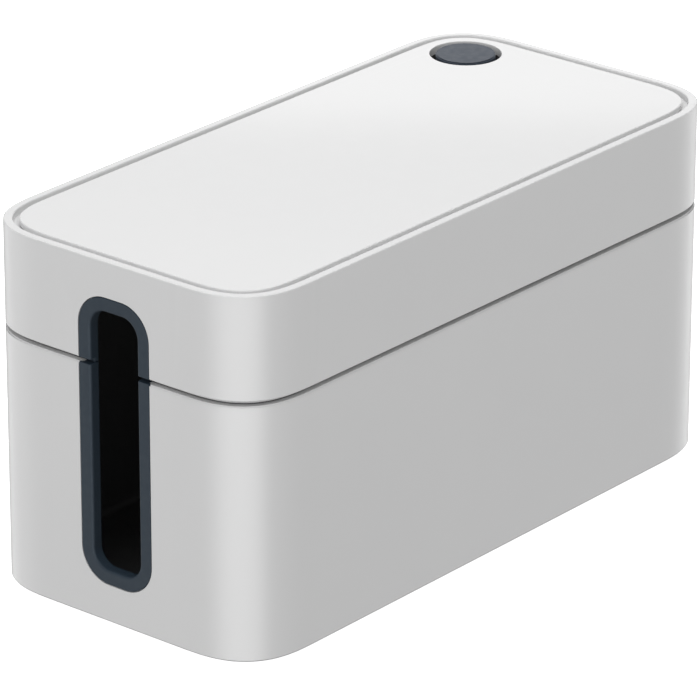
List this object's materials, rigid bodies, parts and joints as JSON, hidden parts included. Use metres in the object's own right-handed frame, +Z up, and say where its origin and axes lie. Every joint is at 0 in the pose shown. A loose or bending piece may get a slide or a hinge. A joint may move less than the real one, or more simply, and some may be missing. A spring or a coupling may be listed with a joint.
{
  "type": "cable management box",
  "caption": "Rounded box with a lift-off lid that hides cables and a power strip, with a soft-edged cable slot in each end and a round cable outlet in the lid.",
  "frame": {"origin": "on the surface that the box stands on, under the centre of the box", "axes": "+X along the box's length towards the end with the cable outlet, +Y across it towards the long side with the cable outlet, +Z up"},
  "size_m": [0.2462, 0.1172, 0.1272],
  "materials": {
    "shell_plastic": "satin",
    "panel_plastic": "semi-gloss",
    "soft_trim": "matte",
    "soft_plug": "matte",
    "holder_plastic": "matte",
    "foot_rubber": "matte"
  },
  "bodies": {
    "tub": {"base_tub": "shell_plastic", "base_slot_trim_left": "soft_trim", "base_slot_trim_right": "soft_trim", "foot_front_left": "foot_rubber", "foot_front_right": "foot_rubber", "foot_back_left": "foot_rubber", "foot_back_right": "foot_rubber"},
    "lid": {"lid_shell": "shell_plastic", "lid_top_panel": "panel_plastic", "lid_slot_trim_left": "soft_trim", "lid_slot_trim_right": "soft_trim", "plug_holder": "holder_plastic"},
    "plug": {"cable_outlet_plug": "soft_plug"}
  },
  "joints": [
    {"name": "lid_lift", "type": "slide", "parent": "tub", "child": "lid", "axis": [0, 0, 1], "range_m": [0, 0.12]},
    {"name": "plug_pull", "type": "slide", "parent": "lid", "child": "plug", "axis": [0, 0, 1], "range_m": [0, 0.03]}
  ]
}
